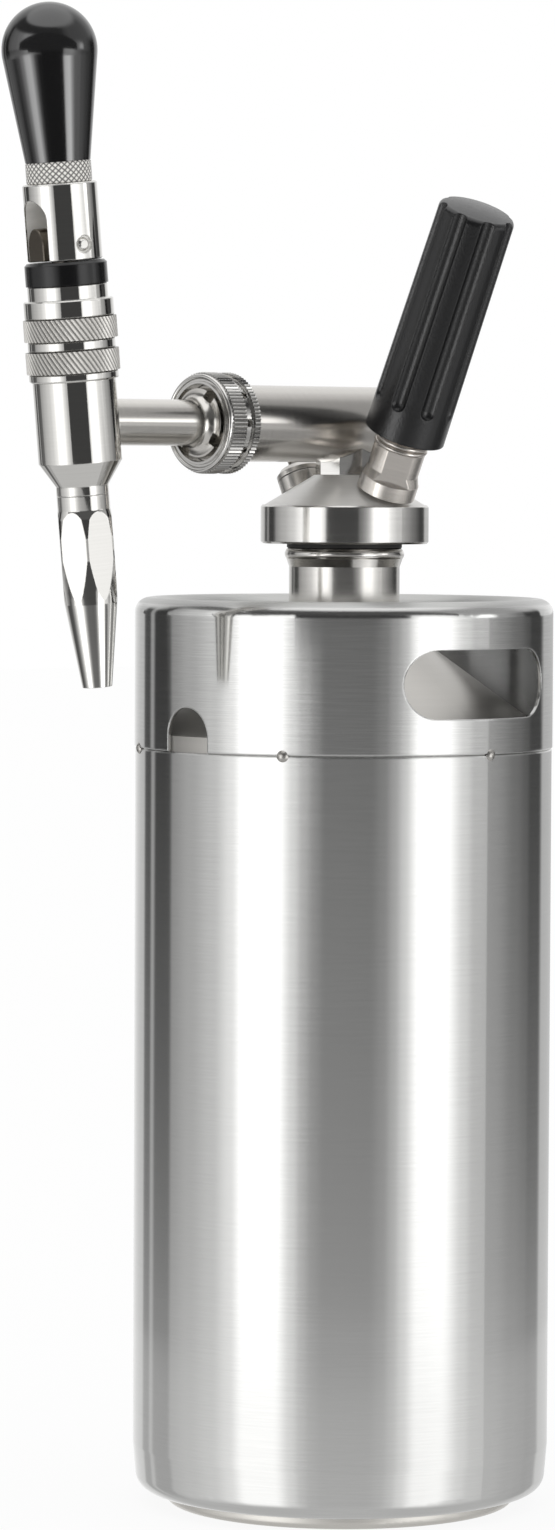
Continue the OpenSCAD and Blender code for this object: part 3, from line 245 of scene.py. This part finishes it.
# Dark flags between the soft boxes, which the tap sees from nearer than the keg does, in metres
FLAG_DISTANCE = 0.40
FLAG_LEFT = -0.185
FLAG_RIGHT = 0.137
FLAG_SPLIT = 0.43
FLAG_TOP = 0.70
FLAGS = [
    dict(name="dark_flag", level=0.06, left=FLAG_LEFT, right=FLAG_RIGHT, low=0.280, high=FLAG_SPLIT),
    dict(name="side_flag", level=0.10, left=-0.47, right=FLAG_LEFT, low=0.395, high=FLAG_SPLIT),
    dict(name="top_flag", level=0.10, left=-1.20, right=FLAG_RIGHT, low=FLAG_SPLIT, high=FLAG_TOP),
    dict(name="right_flag", level=0.10, left=FLAG_RIGHT, right=0.90, low=0.462, high=FLAG_TOP),
]


class Studio:
    """Brightness by direction: round the studio, from the camera's side, and by height over the horizon."""

    def __init__(self, tree, direction):
        self.tree = tree
        x, y, z = split_node(tree, direction)
        ahead = two_products(tree, x, sin(VIEW_TURN), y, -cos(VIEW_TURN))
        aside = two_products(tree, x, cos(VIEW_TURN), y, sin(VIEW_TURN))
        turn = math_node(tree, "ARCTAN2", aside, ahead)
        self.turn = math_node(tree, "MULTIPLY_ADD", turn, 1 / (2 * pi), 0.5)
        self.height = math_node(tree, "MULTIPLY_ADD", z, 0.5, 0.5)

    def around(self, bands, peak=1.0):
        stops = [((degrees + 180) / 360, level / peak) for degrees, level in bands]
        return math_node(self.tree, "MULTIPLY", ramp_node(self.tree, self.turn, stops, "EASE"), peak)

    def by_height(self, heights):
        stops = [((sin(radians(degrees)) + 1) / 2, level) for degrees, level in heights]
        return ramp_node(self.tree, self.height, stops, "EASE")

    def above(self, span):
        return self.by_height([(-90, 0), (span[0], 0), (span[1], 1), (90, 1)])

    def below(self, span):
        return self.by_height([(-90, 1), (span[0], 1), (span[1], 0), (90, 0)])

    def mix(self, share, low, high):
        node = self.tree.nodes.new("ShaderNodeMix")
        node.data_type = "FLOAT"
        factor, _, first, second = node.inputs[:4]
        for socket, value in ((factor, share), (first, low), (second, high)):
            feed(self.tree, socket, value)
        return node.outputs[0]


def add_world():
    """Plain white light, and the studio for reflections alone."""
    world = bpy.data.worlds.new("studio")
    world.use_nodes = True
    scene.world = world
    tree = world.node_tree
    tree.nodes.clear()
    out = tree.nodes.new("ShaderNodeOutputWorld")
    coord = tree.nodes.new("ShaderNodeTexCoord")
    room = Studio(tree, coord.outputs["Generated"])
    level = room.mix(room.by_height(FAR_HAZE), room.around(STUDIO_BANDS, BAND_PEAK), HAZE_LEVEL)
    level = room.mix(room.above(TAP_STARTS), level, room.around(TAP_BANDS, BAND_PEAK))
    level = room.mix(room.below(LOW_ENDS), level, room.around(LOW_BANDS, LOW_PEAK))
    strip = math_node(tree, "MULTIPLY", room.around(STRIP_BANDS), room.by_height(STRIP_HEIGHTS))
    level = room.mix(strip, level, STRIP_LEVEL)
    tall = room.around(TALL_BANDS)
    ceiling = room.mix(tall, room.above(CEILING_STARTS), room.above(TALL_CEILING_STARTS))
    level = room.mix(ceiling, level, room.around(CEILING_BANDS))
    overhead = room.mix(tall, room.above(OVERHEAD_STARTS), room.above(TALL_OVERHEAD_STARTS))
    level = room.mix(overhead, level, OVERHEAD_LEVEL)
    level = room.mix(room.below(FLOOR_ENDS), level, FLOOR_LEVEL)
    path = tree.nodes.new("ShaderNodeLightPath")
    glossy = path.outputs["Is Glossy Ray"]
    shown = choose_shader(tree, glossy, background_node(tree, 1.0), background_node(tree, level))
    link(tree, shown, out.inputs["Surface"])


def bare_material(name):
    mat = bpy.data.materials.new(name)
    mat.use_nodes = True
    mat.node_tree.nodes.clear()
    return mat, mat.node_tree, mat.node_tree.nodes.new("ShaderNodeOutputMaterial").inputs["Surface"]


def add_floor():
    """A matte floor that keeps the object's shadow and is nearly white to the camera."""
    half = FLOOR_HALF
    corners = [(-half, -half, 0), (half, -half, 0), (half, half, 0), (-half, half, 0)]
    floor = add_mesh("studio_floor", corners, [(0, 1, 2, 3)])
    mat, tree, surface = bare_material("pale_floor")
    matte = tree.nodes.new("ShaderNodeBsdfDiffuse")
    matte.inputs["Color"].default_value = grey(FLOOR_COLOUR)
    white = tree.nodes.new("ShaderNodeEmission")
    white.inputs["Color"].default_value = grey(1)
    path = tree.nodes.new("ShaderNodeLightPath")
    share = math_node(tree, "MULTIPLY", path.outputs["Is Camera Ray"], FLOOR_WHITENESS)
    link(tree, choose_shader(tree, share, matte.outputs[0], white.outputs[0]), surface)
    floor.data.materials.append(mat)
    floor.visible_glossy = False
    for card in FLOOR_CARDS:
        add_floor_card(**card)


def add_floor_card(name, radius, z, haze, steep, level, fade_from=None):
    place = (0, 0, z)
    bpy.ops.mesh.primitive_circle_add(vertices=CARD_SIDES, radius=radius, fill_type="NGON", location=place)
    tree, glow = add_card(bpy.context.object, name, 1)
    seen = tree.nodes.new("ShaderNodeNewGeometry")
    onward = tree.nodes.new("ShaderNodeVectorMath")
    onward.operation = "SCALE"
    onward.inputs["Scale"].default_value = -1
    link(tree, seen.outputs["Incoming"], onward.inputs[0])
    room = Studio(tree, onward.outputs[0])
    shine = room.mix(room.by_height(haze), room.around(STUDIO_BANDS, BAND_PEAK), HAZE_LEVEL)
    if fade_from:
        # towards its edge the card takes on what lies beyond it
        reach = tree.nodes.new("ShaderNodeVectorMath")
        reach.operation = "LENGTH"
        link(tree, seen.outputs["Position"], reach.inputs[0])
        far = profile(tree, reach.outputs["Value"], [(fade_from, 0), (radius, 1)])
        beyond = math_node(tree, "MULTIPLY", far, room.below(LOW_ENDS))
        shine = room.mix(beyond, shine, room.around(LOW_BANDS, LOW_PEAK))
    link(tree, room.mix(room.below(steep), shine, level), glow.inputs["Strength"])


def add_flags():
    for flag in FLAGS:
        add_flag(**flag)


def add_flag(name, level, left, right, low, high):
    facing = Matrix.Rotation(VIEW_TURN, 3, "Z")
    corners = [(left, low), (right, low), (right, high), (left, high)]
    points = [facing @ Vector((side, -FLAG_DISTANCE, z)) for side, z in corners]
    add_card(add_mesh(name, points, [(0, 1, 2, 3)]), name, level)


def add_card(obj, name, level):
    """Makes a studio card of a mesh: a glow that only reflections show."""
    obj.name = name
    obj.visible_camera = obj.visible_diffuse = obj.visible_shadow = obj.visible_transmission = False
    mat, tree, surface = bare_material(name)
    glow = tree.nodes.new("ShaderNodeEmission")
    glow.inputs["Color"].default_value = grey(level)
    link(tree, glow.outputs[0], surface)
    obj.data.materials.append(mat)
    return tree, glow


# Finishes that several materials share, as shader node groups
def new_group(name, inputs, outputs):
    """A group with inputs that are numbers, or None for a vector, and with outputs that are numbers."""
    group = bpy.data.node_groups.new(name, "ShaderNodeTree")
    for label, value in inputs.items():
        if value is None:
            group.interface.new_socket(label, in_out="INPUT", socket_type="NodeSocketVector")
        else:
            socket = group.interface.new_socket(label, in_out="INPUT", socket_type="NodeSocketFloat")
            socket.default_value = value
    for label in outputs:
        group.interface.new_socket(label, in_out="OUTPUT", socket_type="NodeSocketFloat")
    return group, group.nodes.new("NodeGroupInput").outputs, group.nodes.new("NodeGroupOutput").inputs


def turned_lines_group():
    """Fine lines left by turning or brushing, which run round the axis."""
    inputs = {"Vector": None, "Line Scale": 900.0, "Drift Scale": 10.0, "Depth": 0.3, "Roughness": 0.25,
              "Roughness Spread": 0.1, "Shade Spread": 0.15}
    group, given, result = new_group("turned_lines", inputs, ("Roughness", "Height", "Shade"))
    join = group.nodes.new("ShaderNodeCombineXYZ")
    scales = ("Drift Scale", "Drift Scale", "Line Scale")
    for length, scale, socket in zip(split_node(group, given["Vector"]), scales, join.inputs):
        link(group, math_node(group, "MULTIPLY", length, given[scale]), socket)
    noise = group.nodes.new("ShaderNodeTexNoise")
    noise.inputs["Scale"].default_value = 1.0
    noise.inputs["Detail"].default_value = 4.0
    noise.inputs["Roughness"].default_value = 0.65
    link(group, join.outputs[0], noise.inputs["Vector"])
    centred = math_node(group, "SUBTRACT", noise.outputs["Fac"], 0.5)
    rough = math_node(group, "MULTIPLY_ADD", centred, given["Roughness Spread"], given["Roughness"])
    link(group, rough, result["Roughness"])
    link(group, math_node(group, "MULTIPLY", centred, given["Depth"]), result["Height"])
    link(group, math_node(group, "MULTIPLY_ADD", centred, given["Shade Spread"], 1.0), result["Shade"])
    return group


def turned_place_group():
    """How far a point lies from the axis that a piece was turned about, its direction and its height."""
    group, given, result = new_group("turned_place", {"Vector": None}, ("Radius", "Angle", "Height"))
    x, y, z = split_node(group, given["Vector"])
    link(group, math_node(group, "SQRT", two_products(group, x, x, y, y)), result["Radius"])
    link(group, math_node(group, "ARCTAN2", y, x), result["Angle"])
    link(group, z, result["Height"])
    return group


def cross_hatch_group():
    """Two sets of slanting grooves that cross, as a knurling wheel rolls them."""
    inputs = {"Angle": 0.0, "Height": 0.0, "Teeth": 60.0, "Rise": 5000.0}
    group, given, result = new_group("cross_hatch", inputs, ("Groove",))
    turn = math_node(group, "MULTIPLY", given["Angle"], given["Teeth"])
    rise = math_node(group, "MULTIPLY", given["Height"], given["Rise"])
    one = math_node(group, "SINE", math_node(group, "ADD", turn, rise))
    two = math_node(group, "SINE", math_node(group, "SUBTRACT", turn, rise))
    deepest = math_node(group, "MAXIMUM", one, two)
    link(group, math_node(group, "MULTIPLY_ADD", deepest, -0.5, 0.5), result["Groove"])
    return group


TURNED_LINES = turned_lines_group()
TURNED_PLACE = turned_place_group()
CROSS_HATCH = cross_hatch_group()
# Heights of the finishes, in metres, and how strongly the light shows the lines and the grooves
LINE_HEIGHT = 0.0002
LINE_DEPTH = 0.3
GRAIN_HEIGHT = 0.0001
GROOVE_HEIGHT = 0.0003
GROOVE_STRENGTH = 0.8
# painted shade: the colour darkens in the grooves of the cross hatch
GROOVE_PAINTED_SHADE = [(0, 0.08), (0.35, 0.9), (1, 1)]
EDGE_SAMPLES = 4


def axis_vector(tree, axis):
    """The place on a piece, measured in the frame of the axis that the piece was turned about."""
    coord = tree.nodes.new("ShaderNodeTexCoord")
    place = tree.nodes.new("ShaderNodeMapping")
    place.vector_type = "POINT"
    where, turn, _ = AXES[axis].decompose()
    place.inputs["Location"].default_value = where
    place.inputs["Rotation"].default_value = turn.to_euler("XYZ")
    link(tree, coord.outputs["Object"], place.inputs["Vector"])
    return place.outputs["Vector"]


def new_material(name):
    mat = bpy.data.materials.new(name)
    mat.use_nodes = True
    return mat, mat.node_tree, mat.node_tree.nodes["Principled BSDF"].inputs


def edge_normal(tree, radius):
    """The normal where sharp edges are rounded a little, or None where they stay sharp."""
    if not radius:
        return None
    corner = tree.nodes.new("ShaderNodeBevel")
    corner.samples = EDGE_SAMPLES
    corner.inputs["Radius"].default_value = radius
    return corner.outputs[0]


def bump_node(tree, height, strength, distance, normal):
    node = tree.nodes.new("ShaderNodeBump")
    node.inputs["Strength"].default_value = strength
    node.inputs["Distance"].default_value = distance
    link(tree, height, node.inputs["Height"])
    if normal is not None:
        link(tree, normal, node.inputs["Normal"])
    return node.outputs[0]


def tinted(tree, base, level):
    """A colour times a level that changes over the surface."""
    node = tree.nodes.new("ShaderNodeMix")
    node.data_type = "RGBA"
    node.blend_type = "MULTIPLY"
    node.inputs[0].default_value = 1.0
    # this node's sockets for colours come after those for numbers and vectors
    first, second = node.inputs[6:8]
    first.default_value = (*base, 1)
    link(tree, level, second)
    return node.outputs[2]


def brush_round(tree, into, strength):
    """Stretches the highlights across brush lines that run round the keg."""
    around = tree.nodes.new("ShaderNodeTangent")
    around.direction_type = "RADIAL"
    around.axis = "Z"
    link(tree, around.outputs[0], into["Tangent"])
    into["Anisotropic"].default_value = strength
    into["Anisotropic Rotation"].default_value = 0.25


def turned_metal(name, axis, base, rough, spread=0.1, line_scale=900, drift=10, bump=0.02, anisotropic=0.0,
                 shade=0.15, edge=0.0, metallic=1.0, painted_light_by=None, painted_shade_inside=None, rough_by=None,
                 metallic_by=None, hatch=None):
    """Metal with fine turned lines. What ends in _by, and the stops for a darker inner wall, hold stops
    along Radius or Height. The stops for the colour paint light and shade into it, and those for the inner
    wall paint shade.
    """
    mat, tree, into = new_material(name)
    into["Metallic"].default_value = metallic
    if anisotropic:
        brush_round(tree, into, anisotropic)
    vector = axis_vector(tree, axis)
    lines = group_node(tree, TURNED_LINES, Vector=vector, Line_Scale=line_scale, Drift_Scale=drift,
                       Depth=LINE_DEPTH, Roughness=rough, Roughness_Spread=spread, Shade_Spread=shade)
    place = group_node(tree, TURNED_PLACE, Vector=vector)

    def levels(stops_by):
        return [profile(tree, place[source], stops) for source, stops in (stops_by or {}).items()]

    level, roughness = lines["Shade"], lines["Roughness"]
    # painted light and shade: the colour darkens or lightens by radius or height
    for share in levels(painted_light_by):
        level = math_node(tree, "MULTIPLY", level, share)
    # painted shade: the colour darkens where the stops for the inner wall both fall below one
    if painted_shade_inside:
        level = math_node(tree, "MULTIPLY", level, math_node(tree, "MAXIMUM", *levels(painted_shade_inside)))
    for more in levels(rough_by):
        roughness = math_node(tree, "ADD", roughness, more)
    for share in levels(metallic_by):
        link(tree, share, into["Metallic"])
    normal = bump_node(tree, lines["Height"], bump, LINE_HEIGHT, edge_normal(tree, edge))
    if hatch:
        cut = group_node(tree, CROSS_HATCH, Angle=place["Angle"], Height=place["Height"], **hatch)["Groove"]
        # painted shade in the hatch's grooves, as well as their bump
        level = math_node(tree, "MULTIPLY", level, profile(tree, cut, GROOVE_PAINTED_SHADE))
        normal = bump_node(tree, cut, GROOVE_STRENGTH, GROOVE_HEIGHT, normal)
    link(tree, tinted(tree, base, level), into["Base Color"])
    link(tree, roughness, into["Roughness"])
    link(tree, normal, into["Normal"])
    return mat


def plain_plastic(name, axis, base, rough, grain=0.0, grain_scale=1200, edge=0.0, ior=1.5):
    mat, tree, into = new_material(name)
    into["IOR"].default_value = ior
    into["Base Color"].default_value = (*base, 1)
    into["Roughness"].default_value = rough
    noise = tree.nodes.new("ShaderNodeTexNoise")
    noise.inputs["Scale"].default_value = grain_scale
    noise.inputs["Detail"].default_value = 2.0
    link(tree, axis_vector(tree, axis), noise.inputs["Vector"])
    normal = bump_node(tree, noise.outputs["Fac"], grain, GRAIN_HEIGHT, edge_normal(tree, edge))
    link(tree, normal, into["Normal"])
    return mat


# Looks that several metals of the dispenser share; edges and stops are in metres
BRUSHED_KEG = dict(axis="keg", base=(0.66, 0.66, 0.65), rough=0.11, spread=0.05, line_scale=3200, drift=60,
                   anisotropic=0.85, edge=0.0008)
SATIN_KEG = dict(axis="keg", rough=0.34, drift=8, bump=0.03)
POLISHED_CAP = dict(axis="keg", base=(0.72, 0.71, 0.69), spread=0.05, line_scale=1200, drift=20, bump=0.015)
POLISHED_FAUCET = dict(axis="faucet", base=(0.74, 0.73, 0.705), rough=0.05, spread=0.03, line_scale=1200,
                       drift=5, bump=0.006, edge=0.0004)
METALS = {
    "keg_brushed": dict(BRUSHED_KEG, shade=0.16),
    "collar_brushed": dict(
        BRUSHED_KEG, shade=0.34,
        # painted shade on the inner face of the collar, below its rim
        painted_shade_inside={"Radius": [(0.0640, 0.38), (0.0654, 0.38), (0.0658, 1)],
                "Height": [(0.2760, 0), (0.2780, 1)]},
        rough_by={"Radius": [(0.0640, 0.16), (0.0654, 0.16), (0.0658, 0)],
                  "Height": [(0.2868, 0), (0.2900, 0.24)]},
    ),
    # painted shade: a darker copy of the keg's satin steel, for the shoulder under the collar, the weld
    # tacks and the dip tube
    "keg_satin_painted_shade": dict(SATIN_KEG, base=(0.52, 0.505, 0.48)),
    "foot_satin": dict(SATIN_KEG, base=(0.70, 0.68, 0.64)),
    "neck_satin": dict(axis="keg", base=(0.68, 0.665, 0.64), rough=0.16, spread=0.08, line_scale=1200,
                       drift=20),
    "cap_polished": dict(
        POLISHED_CAP, rough=0.13, edge=0.0004,
        rough_by={"Height": [(0.3190, 0), (0.3197, 0.26)]},
        metallic_by={"Height": [(0.3190, 1), (0.3197, 0.6)]},
    ),
    "hub_polished": dict(POLISHED_CAP, rough=0.12, edge=0.0003),
    "arm_satin": dict(axis="arm", base=(0.62, 0.60, 0.57), rough=0.22, bump=0.03, edge=0.0004),
    "shank_polished": dict(axis="arm", base=(0.70, 0.68, 0.645), rough=0.20, spread=0.06, edge=0.0003),
    "nut_knurled": dict(
        axis="arm", base=(0.70, 0.69, 0.67), rough=0.17, spread=0.08, edge=0.0002,
        # painted shade in the roots of the knurl, and a painted highlight on its crests
        painted_light_by={"Radius": [(0.0150, 1), (0.01526, 1), (0.01534, 0.40), (0.01550, 0.62), (0.01580, 1.15)]},
    ),
    "faucet_polished": POLISHED_FAUCET,
    "hood_polished": dict(
        POLISHED_FAUCET,
        # the slot's wall: partly a rougher, less metallic finish, partly painted light that lightens its
        # colour
        painted_light_by={"Radius": [(0.0100, 1.25), (0.0109, 1.25), (0.0111, 1)]},
        rough_by={"Radius": [(0.0100, 0.35), (0.0109, 0.30), (0.0111, 0)]},
        metallic_by={"Radius": [(0.0100, 0.25), (0.0109, 0.25), (0.0111, 1)]},
    ),
    "faucet_knurled": dict(
        axis="faucet", base=(0.90, 0.88, 0.84), rough=0.34, metallic=0.55,
        # painted shade in the roots of the knurl
        painted_light_by={"Radius": [(0.01385, 0.26), (0.01400, 0.40), (0.01418, 0.9), (0.01432, 1)]},
    ),
    "lock_hatched": dict(axis="faucet", base=(1.0, 0.98, 0.94), rough=0.38, edge=0.0003, metallic=0.15,
                         hatch={"Teeth": 34, "Rise": 3600}),
    "stem_satin": dict(axis="faucet", base=(0.40, 0.37, 0.33), rough=0.30, edge=0.0004),
    "tongue_bright": dict(axis="faucet", base=(0.30, 0.265, 0.22), rough=0.16, spread=0.05, bump=0.01,
                          edge=0.0007),
    "port_satin": dict(axis="port", base=(0.74, 0.70, 0.655), rough=0.25, bump=0.03, shade=0.35, edge=0.0003,
                       metallic=0.88),
    "relief_satin": dict(axis="relief", base=(0.62, 0.60, 0.57), rough=0.24, bump=0.03, edge=0.0004),
}
PLASTICS = {
    "handle_gloss": dict(axis="faucet", base=(0.003, 0.003, 0.0033), rough=0.13, grain_scale=600, ior=1.95),
    "sleeve_grain": dict(axis="port", base=(0.006, 0.006, 0.0066), rough=0.27, grain=0.9, grain_scale=1700,
                         edge=0.0006, ior=1.6),
    "wear_black": dict(axis="faucet", base=(0.006, 0.006, 0.0065), rough=0.20, grain=0.05, edge=0.0003),
    "seal_rubber": dict(axis="keg", base=(0.03, 0.029, 0.028), rough=0.6, grain=0.1),
}
MATERIALS = {name: turned_metal(name, **look) for name, look in METALS.items()}
MATERIALS.update({name: plain_plastic(name, **look) for name, look in PLASTICS.items()})
FINISH = {
    "keg_body": "keg_brushed", "keg_foot_ring": "foot_satin", "keg_shoulder": "keg_satin_painted_shade",
    "keg_neck": "neck_satin", "keg_collar": "collar_brushed", "collar_weld_tacks": "keg_satin_painted_shade",
    "tap_cap": "cap_polished", "cap_seal": "seal_rubber", "cap_hub": "hub_polished",
    "arm_tube": "arm_satin", "arm_end_plug": "arm_satin",
    "dip_tube": "keg_satin_painted_shade", "dip_tube_collar": "seal_rubber",
    "inlet_body": "port_satin", "inlet_washers": "port_satin", "piercing_pin": "port_satin",
    "cartridge_seal": "seal_rubber", "charger_sleeve": "sleeve_grain", "gas_cartridge": "port_satin",
    "relief_body": "relief_satin", "relief_guide": "relief_satin", "relief_spring": "relief_satin",
    "relief_poppet": "seal_rubber", "relief_pull_cap": "relief_satin",
    "coupling_nut": "nut_knurled", "nut_retaining_ring": "arm_satin", "coupling_washer": "seal_rubber",
    "faucet_shank": "shank_polished", "faucet_body": "faucet_polished", "restrictor_disc": "faucet_polished",
    "spout": "faucet_polished", "spout_seal": "seal_rubber", "body_ring": "faucet_polished",
    "lower_knurl_ring": "faucet_knurled", "waist_sleeve": "faucet_polished",
    "upper_knurl_ring": "faucet_knurled", "bonnet_cap": "faucet_polished", "wear_ring": "wear_black",
    "valve_stem": "stem_satin", "stem_seal_rings": "seal_rubber", "plunger_seal": "seal_rubber",
    "lever_hood": "hood_polished", "pivot_pin": "faucet_polished", "handle_lock_ring": "lock_hatched",
    "tap_handle": "handle_gloss", "handle_stud": "stem_satin",
}


def dress():
    for name, obj in nodes.items():
        obj.data.materials.clear()
        obj.data.materials.append(MATERIALS[FINISH[name]])


# The front of the stem's tongue, in metres along the faucet's axis
TONGUE_HALF = 0.004
TONGUE_FRONT = -0.0102
TONGUE_BACK = -0.0015
TONGUE_FOOT = 0.0496
TONGUE_SPRING = 0.0541
TONGUE_TOP = 0.0596
ARCH_STEPS = 20


def add_tongue():
    """A slab with an arched top, which stands in the slot of the hood."""
    angles = [pi * step / ARCH_STEPS for step in range(ARCH_STEPS + 1)]
    rise = TONGUE_TOP - TONGUE_SPRING
    arch = [(-TONGUE_HALF * cos(angle), TONGUE_SPRING + rise * sin(angle)) for angle in angles]
    outline = [(-TONGUE_HALF, TONGUE_FOOT)] + arch + [(TONGUE_HALF, TONGUE_FOOT)]
    count = len(outline)
    points = [(x, y, z) for y in (TONGUE_FRONT, TONGUE_BACK) for x, z in outline]
    faces = [tuple(range(count)), tuple(reversed(range(count, 2 * count)))]
    faces += [(i, i + count, (i + 1) % count + count, (i + 1) % count) for i in range(count)]
    slab = add_mesh("tongue_front", points, faces)
    slab.data.materials.append(MATERIALS["tongue_bright"])
    slab.matrix_world = AXES["faucet"].inverted() @ Matrix.Rotation(LEVER_TURN, 4, "Z")
    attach(slab, "valve_stem")


def add_relief_coil():
    """The relief valve's spring, which shortens towards its guide as the pull cap lifts, as a copy with a
    mesh of its own on the tap head; the copy keeps the spring's shape.
    """
    plain = nodes["relief_spring"]
    coil = bpy.data.objects.new("relief_coil", plain.data.copy())
    coil.matrix_world = plain.matrix_world.copy()
    scene.collection.objects.link(coil)
    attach(coil, "tap_head")
    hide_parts("relief_spring")
    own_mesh(coil)


add_camera()
add_world()
add_floor()
add_flags()
dress()
add_tongue()
add_relief_coil()

scene.view_settings.view_transform = "Standard"
